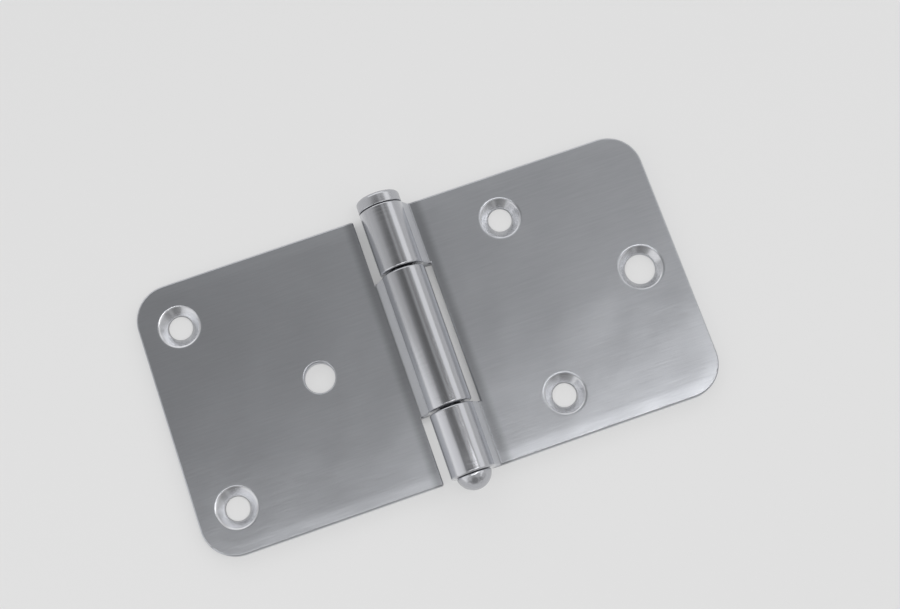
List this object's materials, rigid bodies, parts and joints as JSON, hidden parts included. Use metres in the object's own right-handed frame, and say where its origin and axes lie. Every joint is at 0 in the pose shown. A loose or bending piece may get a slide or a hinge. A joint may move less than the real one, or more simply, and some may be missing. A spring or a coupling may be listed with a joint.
{
  "type": "flat hinge",
  "caption": "Flat butt hinge of satin steel sheet, lying open: rounded leaves with countersunk screw holes, rolled knuckles and a headed pin.",
  "frame": {"origin": "under the middle of the barrel, on the plane that the backs of both leaves lie on", "axes": "+X across the leaves towards the leaf with the end knuckles, +Y along the pin towards its formed head, +Z out of the front, the side that the barrel and the countersinks are on"},
  "size_m": [0.12, 0.0695, 0.0101],
  "materials": {
    "leaf_steel": "satin cold-rolled stainless sheet",
    "pin_steel": "drawn stainless wire, heads formed cold"
  },
  "bodies": {
    "frame_leaf": {"leaf_end_knuckles": "leaf_steel", "hinge_pin": "pin_steel"},
    "door_leaf": {"leaf_middle_knuckle": "leaf_steel"}
  },
  "joints": [
    {"name": "leaf_swing", "type": "hinge", "parent": "frame_leaf", "child": "door_leaf", "pos_m": [0, 0, 0.00505], "axis": [0, 1, 0], "range_deg": [-105, 184]}
  ]
}
